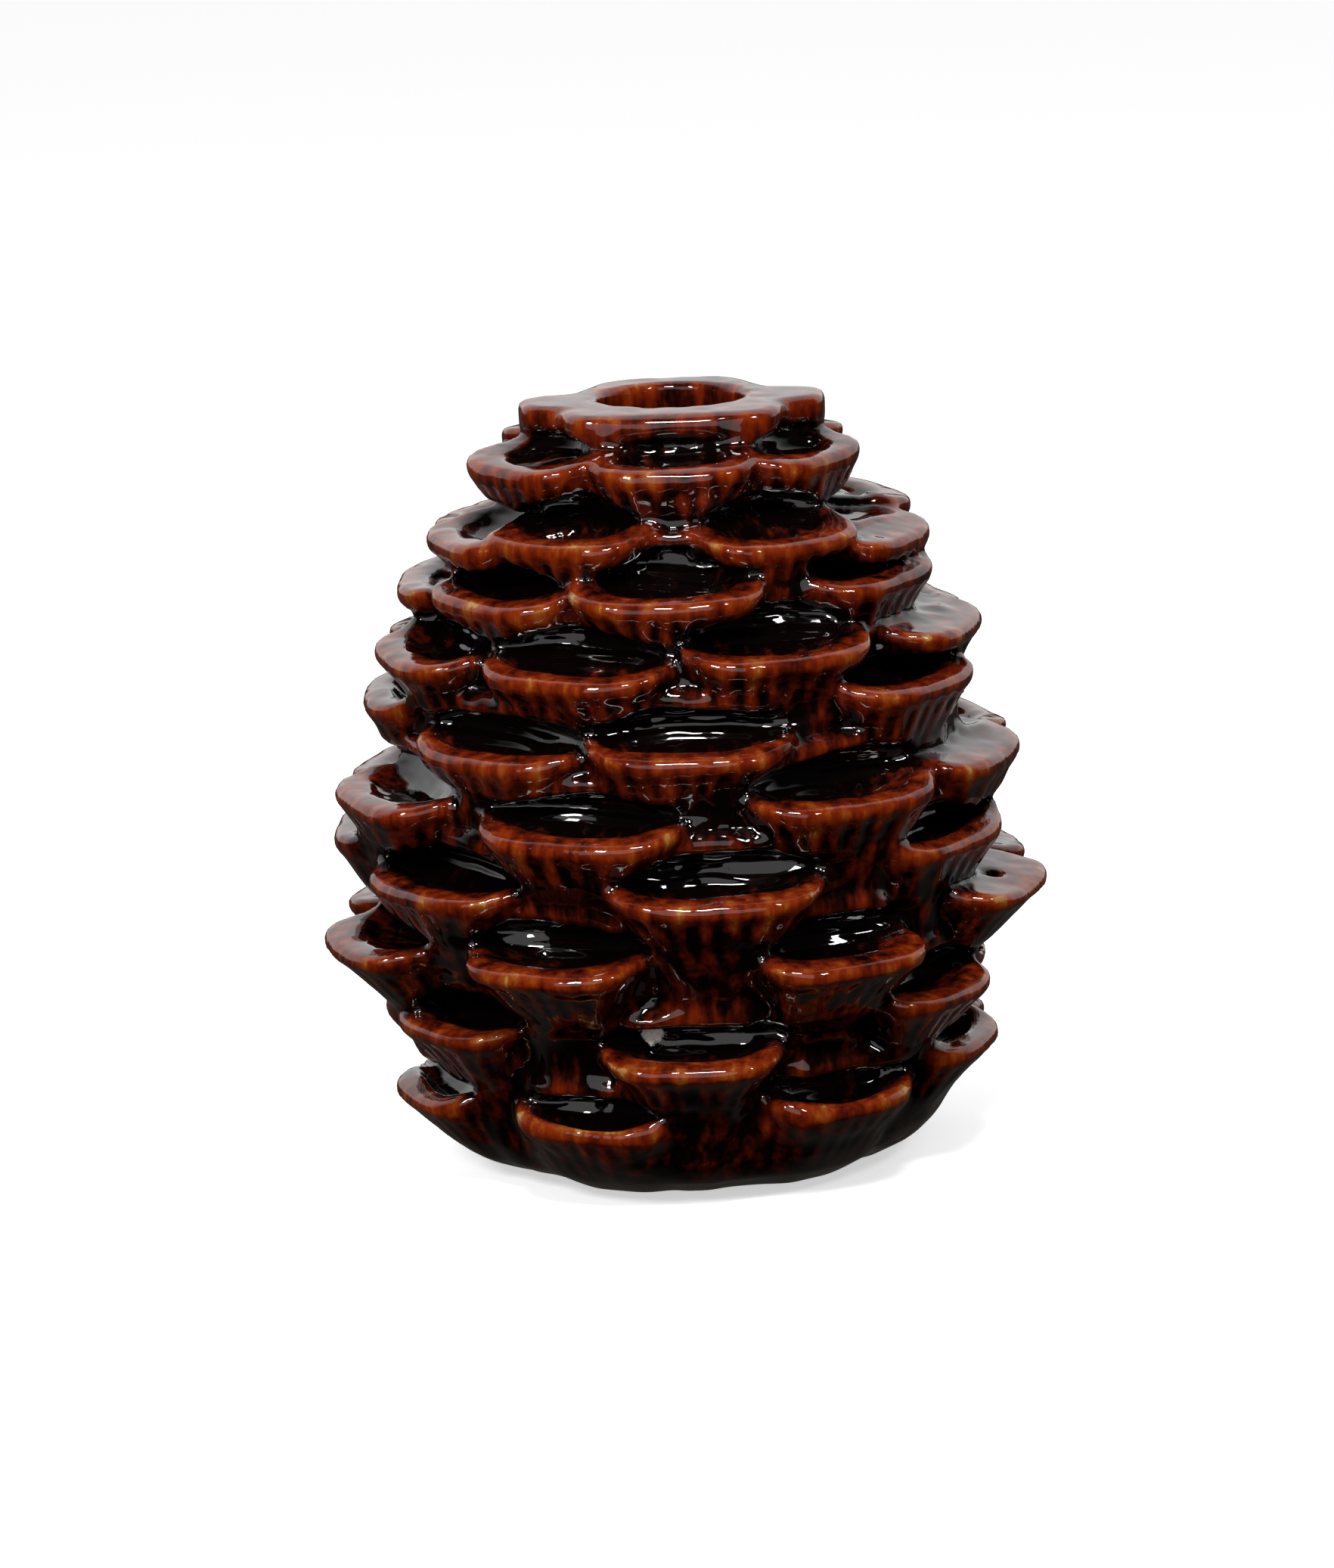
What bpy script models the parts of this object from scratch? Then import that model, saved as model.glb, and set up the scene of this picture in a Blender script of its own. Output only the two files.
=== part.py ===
"""Pine-cone taper-candle holder in glazed stoneware, built up clay piece by clay piece.

A hollow egg-shaped body stands on a flat foot. Ten tiers of eight spoon-shaped scales are luted
round it, alternate tiers staggered by half a pitch, and a four-lobed crown closes the top round
the mouth of a cup that holds a taper candle. Every piece is as it is before the firing joins
them, with a hair of slip clearance between neighbours. Metres, +Z up, origin at the middle of
the foot's flat underside, front along -Y.
"""

import math
from collections import namedtuple

import bmesh
import bpy
from mathutils import Vector

MM = 0.001

# Driving dimensions
HEIGHT = 118.4 * MM
CANDLE_RADIUS = 11.1 * MM
CANDLE_DEPTH = 28.0 * MM
CUP_WALL = 2.9 * MM
BODY_WALL = 5.0 * MM
BODY_SHOULDER = 12.0 * MM
CROWN_THICKNESS = 4.8 * MM
CROWN_EDGE = 1.0 * MM
FOOT_RADIUS = 20.0 * MM
FOOT_THICKNESS = 4.0 * MM
DRAIN_RADIUS = 4.0 * MM
SLIP_GAP = 0.3 * MM
SEAT_GAP = 0.6 * MM
SCALES_PER_TIER = 8
PITCH = 2 * math.pi / SCALES_PER_TIER
FIRST_COLUMN = math.radians(1.5)
TIER_LEAN = 0.3 * MM
ROUND_STEPS = 36
BODY_LEVELS = 12

# Height of the lip, its reach from the axis, half its width, and whether the scales of the
# tier are one whorl of clay or eight separate scales, from the crown downwards.
Tier = namedtuple("Tier", "lip_z reach half_width whorl")
TIERS = [
    Tier(110.5 * MM, 29.5 * MM, 11.2 * MM, True),
    Tier(101.0 * MM, 36.5 * MM, 12.0 * MM, True),
    Tier(92.5 * MM, 41.0 * MM, 11.8 * MM, False),
    Tier(83.0 * MM, 45.5 * MM, 13.6 * MM, False),
    Tier(73.0 * MM, 48.5 * MM, 14.2 * MM, False),
    Tier(62.0 * MM, 52.3 * MM, 14.8 * MM, False),
    Tier(52.0 * MM, 54.3 * MM, 15.0 * MM, False),
    Tier(40.5 * MM, 55.3 * MM, 13.4 * MM, False),
    Tier(28.5 * MM, 51.0 * MM, 12.4 * MM, True),
    Tier(15.5 * MM, 46.3 * MM, 11.0 * MM, True),
]

# How the hand set single scales: lift in millimetres, turn toward +X in degrees and extra reach
# in millimetres, by tier and by column counted from the front toward +X
HAND = {
    (1, 1): (0.4, -0.2, 0.0),
    (1, 2): (0.0, 11.0, -0.2),
    (1, 3): (0.0, 8.0, -3.5),
    (1, 4): (-0.5, 2.0, 0.0),
    (1, 6): (0.6, -2.0, 0.0),
    (1, 7): (0.0, -8.0, -1.0),
    (1, 8): (0.0, -12.0, 3.0),
    (2, 1): (1.0, 1.3, 0.0),
    (2, 2): (-1.9, 0.0, 1.5),
    (2, 4): (0.8, 2.5, 0.0),
    (2, 6): (-0.7, -1.5, 0.0),
    (2, 7): (0.0, -2.0, 1.5),
    (2, 8): (1.6, -11.5, 0.0),
    (3, 1): (1.0, -4.5, 0.0),
    (3, 2): (0.0, 10.5, 0.0),
    (3, 3): (-0.5, 6.5, -6.5),
    (3, 4): (-0.8, 2.0, 0.0),
    (3, 6): (0.7, -2.5, 0.0),
    (3, 7): (-1.3, -4.5, 2.0),
    (3, 8): (-0.3, -7.5, 0.0),
    (4, 1): (1.6, -1.7, 0.0),
    (4, 2): (0.0, 3.5, 1.5),
    (4, 3): (-0.8, -1.5, -0.5),
    (4, 5): (0.9, 3.0, 0.0),
    (4, 7): (0.0, -4.0, 2.0),
    (4, 8): (0.0, -3.3, 0.0),
    (5, 1): (-1.2, -0.3, 0.0),
    (5, 2): (4.1, 7.0, 0.0),
    (5, 3): (0.5, 8.0, -6.5),
    (5, 4): (-1.0, 3.0, 0.0),
    (5, 6): (1.0, -1.0, 0.0),
    (5, 7): (2.0, 0.0, 0.4),
    (5, 8): (-1.8, 1.5, 0.0),
    (6, 1): (1.1, 7.5, 0.0),
    (6, 2): (1.2, 1.5, 0.0),
    (6, 4): (1.0, -2.5, 0.0),
    (6, 6): (-0.8, 2.0, 0.0),
    (6, 7): (0.4, -4.0, 2.2),
    (6, 8): (-1.5, 0.0, 0.0),
    (7, 1): (-0.7, 3.3, 0.0),
    (7, 2): (0.7, 10.5, -2.8),
    (7, 3): (0.6, 8.0, -8.0),
    (7, 4): (-0.9, 2.0, 0.0),
    (7, 5): (1.0, -2.0, 0.0),
    (7, 7): (2.4, -4.0, 0.0),
    (7, 8): (-0.8, -8.5, 0.0),
    (8, 1): (-1.0, 3.6, 0.0),
    (8, 2): (1.9, 2.0, 1.0),
    (8, 4): (0.8, 2.0, 0.0),
    (8, 6): (-0.6, -2.0, 0.0),
    (8, 7): (0.0, -4.0, 2.2),
    (8, 8): (0.9, -4.8, 0.0),
    (9, 1): (-3.1, -0.3, 0.0),
    (9, 2): (1.2, 7.5, 0.0),
    (9, 3): (0.0, 8.0, -7.0),
    (9, 5): (0.9, 2.0, 0.0),
    (9, 7): (0.0, -4.0, -2.5),
    (9, 8): (1.2, -8.5, 0.0),
    (10, 1): (-1.0, 3.5, 0.0),
    (10, 2): (2.4, 0.0, 0.0),
    (10, 4): (0.6, -2.0, 0.0),
    (10, 7): (1.5, -2.0, 2.5),
}

# Scale: shape shared by all tiers
LIP_HEIGHT = 2.4 * MM
LIP_ROUND = 0.8 * MM
RIM_WIDTH = 2.4 * MM
RIM_SHARE = 0.2
POCKET_DEPTH = 1.8 * MM
ROOT_SHARE = 0.38
ROUNDNESS = 0.75
STEM_HALF_WIDTH = 1.9 * MM
STEM_PROUD = 1.5 * MM
STEM_TAPER = 0.4 * MM
STEM_STUB = 1.5 * MM
NECK_GAP = 0.8 * MM
LOWEST_CLAY = 3.2 * MM
RIM_DROP = 0.25 * MM
VALLEY_PROUD = 0.8 * MM
ARC_STEPS = 6
LOBE_STEPS = 6

# Crown lobes: direction from the front, reach from the axis, half width, squareness
Lobe = namedtuple("Lobe", "azimuth reach half_width squareness")
CROWN_LOBES = [
    Lobe(0.0, 18.9 * MM, 16.6 * MM, 6),
    Lobe(math.radians(86), 23.2 * MM, 7.0 * MM, 4),
    Lobe(math.radians(180), 19.5 * MM, 12.5 * MM, 4),
    Lobe(math.radians(-84), 23.0 * MM, 7.0 * MM, 4),
]
CROWN_THROAT = 15.6 * MM
CROWN_STEPS = 56
LOBE_BLEND = 12

# Outside of the egg-shaped body: height above the table and radius
BODY_PROFILE = [
    (4.3 * MM, 21.0 * MM),
    (15.5 * MM, 32.0 * MM),
    (28.5 * MM, 37.5 * MM),
    (45.0 * MM, 41.0 * MM),
    (60.0 * MM, 41.0 * MM),
    (75.0 * MM, 38.0 * MM),
    (90.0 * MM, 32.0 * MM),
    (102.0 * MM, 24.5 * MM),
    (HEIGHT - CROWN_THICKNESS - SLIP_GAP, 19.0 * MM),
]

GLAZE = (0.16, 0.035, 0.010, 1.0)
BARE_CLAY = (0.62, 0.50, 0.38, 1.0)


def material(name, colour, roughness):
    made = bpy.data.materials.new(name)
    made.use_nodes = True
    shader = made.node_tree.nodes["Principled BSDF"]
    shader.inputs["Base Color"].default_value = colour
    shader.inputs["Roughness"].default_value = roughness
    shader.inputs["Metallic"].default_value = 0.0
    return made


def body_radius(z):
    """Radius of the egg-shaped body's outside at a height: a smooth curve through its profile."""
    last = len(BODY_PROFILE) - 1
    z = min(max(z, BODY_PROFILE[0][0]), BODY_PROFILE[last][0])
    i = next(k for k in range(last) if z <= BODY_PROFILE[k + 1][0])
    (z0, r0), (z1, r1) = BODY_PROFILE[i], BODY_PROFILE[i + 1]
    before, after = BODY_PROFILE[max(i - 1, 0)], BODY_PROFILE[min(i + 2, last)]
    slope0 = (r1 - before[1]) / (z1 - before[0])
    slope1 = (after[1] - r0) / (after[0] - z0)
    span = z1 - z0
    t = (z - z0) / span
    return (
        (2 * t**3 - 3 * t**2 + 1) * r0
        + (t**3 - 2 * t**2 + t) * span * slope0
        + (3 * t**2 - 2 * t**3) * r1
        + (t**3 - t**2) * span * slope1
    )


def first_column(number):
    """Azimuth of a tier's first column: even tiers are staggered by half a pitch."""
    return FIRST_COLUMN + (PITCH / 2 if number % 2 == 0 else 0.0)


def hand_set(number, azimuth):
    """Lift, turn and extra reach of a tier at an azimuth, shared between its two nearest scales."""
    position = (azimuth - first_column(number)) / PITCH
    column = math.floor(position + 1e-6)
    share = position - column
    here = HAND.get((number, column % SCALES_PER_TIER + 1), (0.0, 0.0, 0.0))
    there = HAND.get((number, (column + 1) % SCALES_PER_TIER + 1), (0.0, 0.0, 0.0))
    lift, turn, extra = (a + (b - a) * share for a, b in zip(here, there))
    return lift * MM, math.radians(turn), extra * MM


def lip_height(number, azimuth):
    """Height of a tier's lip: the tiers were set a little higher on the +X side, lower ones more so."""
    lift, _, _ = hand_set(number, azimuth)
    return TIERS[number - 1].lip_z + TIER_LEAN * (number - 1) * math.sin(azimuth) + lift


def finish_object(name, bm, collection, look):
    """One named, outward-facing, smooth-shaded object from a bmesh."""
    bmesh.ops.recalc_face_normals(bm, faces=bm.faces)
    mesh = bpy.data.meshes.new(name)
    bm.to_mesh(mesh)
    bm.free()
    mesh.shade_smooth()
    mesh.set_sharp_from_angle(angle=math.radians(40))
    mesh.materials.append(look)
    obj = bpy.data.objects.new(name, mesh)
    collection.objects.link(obj)
    return obj


def turned(name, profile, collection, look):
    """A solid turned from (radius, height) points: open if the outline ends on the axis, else a ring."""
    mesh = bpy.data.meshes.new(name)
    count = len(profile)
    edges = [(i, i + 1) for i in range(count - 1)]
    if profile[0][0] > 0:
        edges.append((count - 1, 0))
    mesh.from_pydata([(r, 0, z) for r, z in profile], edges, [])
    mesh.materials.append(look)
    obj = bpy.data.objects.new(name, mesh)
    collection.objects.link(obj)
    screw = obj.modifiers.new("turn", "SCREW")
    screw.steps = screw.render_steps = ROUND_STEPS
    screw.use_merge_vertices = True
    screw.merge_threshold = 0.0001
    screw.use_smooth_shade = True
    return obj


def loft(rings):
    """A bmesh of quads between rings of equal length, with its first and last rings returned."""
    bm = bmesh.new()
    rows = [[bm.verts.new(p) for p in ring] for ring in rings]
    for upper, lower in zip(rows, rows[1:]):
        for i in range(len(upper)):
            j = (i + 1) % len(upper)
            bm.faces.new((upper[i], upper[j], lower[j], lower[i]))
    return bm, rows[0], rows[-1]


def close_with_point(bm, ring, point):
    """Fans a ring of vertices to one point."""
    tip = bm.verts.new(point)
    for i in range(len(ring)):
        bm.faces.new((ring[i], ring[(i + 1) % len(ring)], tip))


def petal(seat, reach, half_width, root_half_width):
    """Plan outline of a scale: a rounded outer end that narrows to its seat on the body."""
    depth = min(ROUNDNESS * half_width, reach - seat - STEM_TAPER)
    outline = []
    for i in range(ARC_STEPS + 1):
        turn = math.pi * (0.5 - i / ARC_STEPS)
        outline.append((half_width * math.sin(turn), reach - depth * (1 - math.cos(turn))))
    for share in (-1, 0, 1):
        across = share * root_half_width
        outline.append((across, math.sqrt(seat**2 - across**2)))
    return outline


def scale_sections(tier, reach, lip_z, neck_z, foot_z):
    """A scale's levels from the lip down: height, reach, half width, half width at the seat."""
    root = ROOT_SHARE * tier.half_width
    neck_seat = body_radius(neck_z) + SEAT_GAP
    foot_seat = body_radius(foot_z) + SEAT_GAP
    return [
        (lip_z, reach - LIP_ROUND, tier.half_width - LIP_ROUND, root),
        (lip_z - LIP_ROUND, reach, tier.half_width, root),
        (lip_z - LIP_HEIGHT, reach - LIP_ROUND, tier.half_width - LIP_ROUND, root),
        (neck_z, neck_seat + STEM_PROUD, STEM_HALF_WIDTH, STEM_HALF_WIDTH - STEM_TAPER),
        (foot_z, foot_seat + STEM_PROUD, STEM_HALF_WIDTH, STEM_HALF_WIDTH - STEM_TAPER),
    ]


def scale(name, number, azimuth, collection, look):
    """One scale: a spoon-shaped wedge that ends in a stub on the body, above the next tier's lips."""
    tier = TIERS[number - 1]
    lip_z = lip_height(number, azimuth)
    neck_z = max(lip_height(number + 1, azimuth + side) for side in (-PITCH / 2, PITCH / 2)) + NECK_GAP
    foot_z = neck_z - STEM_STUB + NECK_GAP
    _, turn, extra = hand_set(number, azimuth)
    tip = tier.reach + extra
    outward = Vector((math.sin(azimuth + turn), -math.cos(azimuth + turn), 0))
    sideways = Vector((math.cos(azimuth + turn), math.sin(azimuth + turn), 0))

    def placed(outline, z):
        return [across * sideways + out * outward + Vector((0, 0, z)) for across, out in outline]

    rings = []
    for z, reach, half_width, root in scale_sections(tier, tip, lip_z, neck_z, foot_z):
        rings.append(placed(petal(body_radius(z) + SEAT_GAP, reach, half_width, root), z))
    seat = body_radius(lip_z) + SEAT_GAP
    rim_width = min(RIM_WIDTH, RIM_SHARE * (tip - seat))
    rim = petal(
        seat + rim_width,
        tip - rim_width - LIP_ROUND,
        tier.half_width - RIM_WIDTH - LIP_ROUND,
        ROOT_SHARE * tier.half_width,
    )
    bm, top, bottom = loft([placed(rim, lip_z - RIM_DROP), *rings])
    close_with_point(bm, top, (0.5 * (seat + tip)) * outward + Vector((0, 0, lip_z - POCKET_DEPTH)))
    bmesh.ops.contextual_create(bm, geom=bottom)
    return finish_object(name, bm, collection, look)


def whorl(name, number, collection, look):
    """A tier whose eight scales are one scalloped ring of clay."""
    tier = TIERS[number - 1]
    stagger = first_column(number)
    angles = [i * PITCH / LOBE_STEPS for i in range(SCALES_PER_TIER * LOBE_STEPS)]

    def scallop(azimuth):
        """Share of the way out to the lip: 1 at a scale's tip, less between two scales."""
        nearest = (azimuth - stagger + PITCH / 2) % PITCH - PITCH / 2
        return math.sqrt(max(0.0, 1 - (nearest / (0.56 * PITCH)) ** 2))

    def skirt_end(azimuth):
        """Height at which the ring ends, just above the next tier's lip."""
        below = lip_height(number + 1, azimuth) if number < len(TIERS) else LOWEST_CLAY
        return below + NECK_GAP

    def ring(drop, proud, floor=0.0, share=0.0):
        """Points at a drop and a share of the skirt below the lip, that far proud of the seat."""
        points = []
        for azimuth in angles:
            lip = lip_height(number, azimuth)
            z = lip - drop - share * (lip - skirt_end(azimuth))
            _, turn, extra = hand_set(number, azimuth)
            seat = body_radius(z) + SEAT_GAP
            grown = proud * (1 + extra / full)
            r = seat + max(floor, grown * scallop(azimuth)) + (VALLEY_PROUD if proud else 0.0)
            points.append(Vector((r * math.sin(azimuth + turn), -r * math.cos(azimuth + turn), z)))
        return points

    full = tier.reach - body_radius(tier.lip_z) - SEAT_GAP - VALLEY_PROUD
    rings = [
        ring(0.0, full - LIP_ROUND),
        ring(LIP_ROUND, full),
        ring(LIP_HEIGHT, full - LIP_ROUND),
        ring(0.0, STEM_PROUD, floor=0.5 * STEM_PROUD, share=1.0),
        ring(0.0, 0.0, share=1.0),
        ring(0.0, 0.0, share=0.5),
        ring(0.0, 0.0),
        ring(RIM_DROP, 0.25 * full),
        ring(POCKET_DEPTH, 0.55 * full),
        ring(RIM_DROP, full - RIM_WIDTH),
    ]
    bm, top, bottom = loft(rings)
    for i in range(len(top)):
        j = (i + 1) % len(top)
        bm.faces.new((bottom[i], bottom[j], top[j], top[i]))
    return finish_object(name, bm, collection, look)


def crown_radius(azimuth):
    """Outline of the crown: squarish lobes blended into the throat ring."""
    total = CROWN_THROAT**LOBE_BLEND
    for lobe in CROWN_LOBES:
        along = math.cos(azimuth - lobe.azimuth)
        if along <= 0:
            continue
        across = abs(math.sin(azimuth - lobe.azimuth))
        n = lobe.squareness
        reach = ((along / lobe.reach) ** n + (across / lobe.half_width) ** n) ** (-1 / n)
        total += reach**LOBE_BLEND
    return total ** (1 / LOBE_BLEND)


def crown(collection, look):
    """The four-lobed collar round the candle cup's mouth, flat on top."""
    top, base = HEIGHT, HEIGHT - CROWN_THICKNESS
    angles = [i * 2 * math.pi / CROWN_STEPS for i in range(CROWN_STEPS)]

    def ring(z, inset=None):
        points = []
        for a in angles:
            r = CANDLE_RADIUS if inset is None else crown_radius(a) - inset
            points.append(Vector((r * math.sin(a), -r * math.cos(a), z)))
        return points

    bm, first, last = loft([
        ring(top),
        ring(top, CROWN_EDGE),
        ring(top - CROWN_EDGE, 0.0),
        ring(base + CROWN_EDGE, 0.0),
        ring(base, CROWN_EDGE),
        ring(base),
    ])
    for i in range(len(first)):
        j = (i + 1) % len(first)
        bm.faces.new((last[i], last[j], first[j], first[i]))
    return finish_object("crown", bm, collection, look)


def build():
    for obj in list(bpy.data.objects):
        bpy.data.objects.remove(obj)
    parts = bpy.data.collections.new("pine_cone_candle_holder")
    bpy.context.scene.collection.children.link(parts)

    under_crown = HEIGHT - CROWN_THICKNESS - SLIP_GAP
    cup_outer = CANDLE_RADIUS + CUP_WALL
    cup_floor = HEIGHT - CANDLE_DEPTH

    bottom = BODY_PROFILE[0][0]
    levels = [bottom + i * (under_crown - bottom) / BODY_LEVELS for i in range(BODY_LEVELS + 1)]
    outside = [(body_radius(z), z) for z in reversed(levels)]
    inside = [(body_radius(z) - BODY_WALL, z) for z in levels[2:-3:2]]
    neck = [(cup_outer + SLIP_GAP, cup_floor + BODY_SHOULDER), (cup_outer + SLIP_GAP, under_crown)]
    base_hole = [(2 * DRAIN_RADIUS, bottom), (2 * DRAIN_RADIUS, bottom + BODY_WALL)]
    turned("hollow_body", outside + base_hole + inside + neck, parts, material("body_glaze", GLAZE, 0.1))

    turned(
        "candle_cup",
        [
            (0.0, cup_floor),
            (CANDLE_RADIUS, cup_floor),
            (CANDLE_RADIUS, under_crown),
            (cup_outer, under_crown),
            (cup_outer, cup_floor - CUP_WALL),
            (0.0, cup_floor - CUP_WALL),
        ],
        parts,
        material("cup_glaze", GLAZE, 0.1),
    )
    turned(
        "foot",
        [
            (FOOT_RADIUS, FOOT_THICKNESS),
            (FOOT_RADIUS, 0.0),
            (DRAIN_RADIUS, 0.0),
            (DRAIN_RADIUS, FOOT_THICKNESS),
        ],
        parts,
        material("foot_clay", BARE_CLAY, 0.8),
    )
    crown(parts, material("crown_glaze", GLAZE, 0.1))

    for number, tier in enumerate(TIERS, start=1):
        look = material(f"tier_{number}_glaze", GLAZE, 0.1)
        if tier.whorl:
            whorl(f"scale_whorl_{number}", number, parts, look)
            continue
        for column in range(SCALES_PER_TIER):
            azimuth = first_column(number) + column * PITCH
            scale(f"scale_{number}_{column + 1}", number, azimuth, parts, look)


build()
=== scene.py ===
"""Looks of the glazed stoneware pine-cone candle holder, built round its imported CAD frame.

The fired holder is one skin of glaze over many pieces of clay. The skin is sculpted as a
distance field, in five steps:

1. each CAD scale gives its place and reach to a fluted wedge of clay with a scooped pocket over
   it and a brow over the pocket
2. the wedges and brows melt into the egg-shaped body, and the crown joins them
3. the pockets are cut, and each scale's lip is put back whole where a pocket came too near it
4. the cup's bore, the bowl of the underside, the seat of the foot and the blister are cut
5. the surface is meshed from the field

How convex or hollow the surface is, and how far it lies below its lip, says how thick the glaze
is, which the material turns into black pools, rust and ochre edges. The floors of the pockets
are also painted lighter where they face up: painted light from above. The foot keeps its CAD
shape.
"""

import math
from collections import namedtuple

import bpy
import numpy as np
import openvdb
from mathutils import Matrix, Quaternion, Vector

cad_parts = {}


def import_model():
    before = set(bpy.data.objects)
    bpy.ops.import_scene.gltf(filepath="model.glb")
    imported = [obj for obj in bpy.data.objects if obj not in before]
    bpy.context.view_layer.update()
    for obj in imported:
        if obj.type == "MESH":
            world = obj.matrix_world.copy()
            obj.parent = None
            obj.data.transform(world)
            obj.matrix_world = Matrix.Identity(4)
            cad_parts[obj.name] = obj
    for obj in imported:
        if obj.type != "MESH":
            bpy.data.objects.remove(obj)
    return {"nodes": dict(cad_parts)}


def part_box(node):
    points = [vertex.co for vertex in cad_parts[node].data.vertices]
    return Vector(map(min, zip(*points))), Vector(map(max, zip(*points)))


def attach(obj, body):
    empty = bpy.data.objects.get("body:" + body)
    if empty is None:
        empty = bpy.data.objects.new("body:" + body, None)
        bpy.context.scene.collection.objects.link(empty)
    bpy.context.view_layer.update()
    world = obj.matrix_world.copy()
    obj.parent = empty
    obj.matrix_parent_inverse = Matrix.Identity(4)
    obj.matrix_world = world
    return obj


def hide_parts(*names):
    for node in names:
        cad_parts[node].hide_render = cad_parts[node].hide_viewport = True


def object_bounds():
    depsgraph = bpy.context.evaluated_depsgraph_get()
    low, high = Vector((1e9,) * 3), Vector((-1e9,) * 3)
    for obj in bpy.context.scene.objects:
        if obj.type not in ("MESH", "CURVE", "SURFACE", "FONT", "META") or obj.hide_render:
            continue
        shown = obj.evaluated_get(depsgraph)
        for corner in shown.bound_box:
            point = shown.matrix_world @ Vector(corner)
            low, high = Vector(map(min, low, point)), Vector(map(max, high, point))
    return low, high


MM = 0.001

# Lengths below are in millimetres, and heights are above the table, unless a comment says
# otherwise. A "round" or a "blend" is the width over which two fields melt into each other. A
# "slope" is a factor that keeps a field from growing faster than the distance it stands for.

VOXEL = 0.55
MARGIN = 3.0
FAR = 50.0
MESHED_BAND = 4.0

# --- Sizes: the tiers of scales ---

SCALES_PER_TIER = 8
PITCH = 2 * math.pi / SCALES_PER_TIER
FIRST_COLUMN = math.radians(1.5)
TIER_COUNT = 10
OWN_SECTOR = 0.45
SAME_HEIGHT = 0.01
LIP_ROUND = 0.8
LIP_DRAWN = 0.7

# One number for each tier from the crown down: half width of its scales, how far their undersides
# draw in for each millimetre down, and the share of the width that is left at the stem
HALF_WIDTH = [12.2, 12.4, 14.0, 14.0, 14.4, 15.0, 15.2, 13.2, 12.6, 11.6]
DRAW_IN = [0.35, 0.38, 0.50, 0.65, 0.55, 0.50, 0.58, 0.98, 0.85, 0.90]
STEM_SHARE = [0.50, 0.50, 0.45, 0.42, 0.42, 0.42, 0.40, 0.35, 0.22, 0.50]

# --- Sizes: the wedge of clay below a lip ---

FACE = 1.5
OUTLINE_DEPTH = 0.64
OUTLINE_POWER = 3.0
OUTLINE_SLOPE = 0.85
OUTLINE_CORE = 0.25
OUTLINE_LEAST = 0.5
TOP_TILT = 0.17
TOP_SLOPE = 0.98
LIP_RADIUS = 0.60
WEDGE_LENGTH = 18.0
WEDGE_ROOT = 9.0
WEDGE_ROOT_ROUND = 1.0
NARROWING = 1.25
STEM_PROUD = 2.4
STEM_PROUD_FROM = 4.0
STEM_PROUD_OVER = 25.0
STEM_ROUND = 2.0

# The flutes under a lip start a little below it, then fade out further down
FLUTES = 22
FLUTE_DEPTH = 0.16
FLUTES_FROM = 1.2
FLUTES_GROW_OVER = 2.2
FLUTES_FADE = 0.95
FLUTES_FADE_FROM = 3.0
FLUTES_FADE_OVER = 8.0
FLUTE_DRIFT = 1.1
FLUTE_DRIFTS = 3.0

# --- Sizes: the pocket over a scale, its brow and its lip ---

FRONT_RIM = 3.2
SIDE_RIM = 0.7
FAN = 0.36
POCKET_CENTRE = 1.0
POCKET_MIDDLE = 1.8
TOP_TIER_MIDDLE = 0.8
POCKET_UP = [2.6, 5.4, 5.4, 5.4, 5.4, 5.2, 5.2, 5.0, 4.6, 4.2]
POCKET_DOWN = 2.6
POCKET_BACK = 3.4
SHORTEST_POCKET = 4.4
POCKET_TILT = 0.5
POCKET_TILT_OVER = 12.0
POCKET_SLOPE = 0.9
POCKET_EDGE = 1.0
BROW_EDGE = 2.6
EDGE_GROWTH = 0.5
BROW = 2.4
BROW_SIDE = 1.0
BROW_PROUD = 4.3
BROW_ROUND = 2.0
LIP_KEPT = 2.6
LIP_BLEND = 1.0

# Scales whose pocket the glaze has all but closed, by tier and column: the radius of the pinhole
# that is left, or nothing at all
CLOSED_POCKETS = {(2, 2): 0.0, (4, 2): 0.0, (6, 2): 0.0, (8, 2): 1.3}
PINHOLE_IN = 7.0
PINHOLE_UP = 1.5
PINHOLE_TALL = 0.3

# --- Sizes: the joined body ---

# How much fatter the joined clay is than the CAD body: height, extra radius
SWELL = [
    (0, 5.5),
    (2, 10),
    (4.3, 14),
    (8, 12.5),
    (12, 9.5),
    (16, 6.5),
    (22, 4),
    (28, 2.5),
    (45, 1.5),
    (70, 0.5),
    (90, 0),
]
NARROWEST_BODY = 15.0
BODY_SLOPE = 0.9
BODY_BELOW_TOP = 2.5
BODY_TOP_ROUND = 1.0
FILLET = 4.5
SEAM = 1.6
HOOD_SEAM = 2.5

CROWN_THROAT = 15.6
CROWN_FILLET = 2.2
CROWN_EDGE = 1.8
CROWN_TOP_ROUND = 1.6
CROWN_SAG = 0.8
CROWN_CLEAR = 1.0
LOBE_BLEND = 12
LOBE_LEAST = 0.01
CROWN_STEP = 0.02
Lobe = namedtuple("Lobe", "azimuth reach half_width squareness")
CROWN_LOBES = [
    Lobe(0.0, 18.9, 16.6, 6),
    Lobe(math.radians(86), 23.2, 7.0, 4),
    Lobe(math.radians(180), 17.0, 12.5, 4),
    Lobe(math.radians(-84), 23.0, 7.0, 4),
]

RIM_DEPTH = 0.1
CUP_FLOOR_ROUND = 1.5
CUP_MOUTH_ROUND = 1.2

# The clay's hand-made unevenness, which stops short of the crown, and the glaze's finer one
WAVE_HEIGHT = 0.16
WAVE_WIDTH = 9.0
WAVES_CLEAR = 3.0
WAVES_GROW_OVER = 4.0
GRAIN_HEIGHT = 0.05
GRAIN_WIDTH = 2.6

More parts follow.
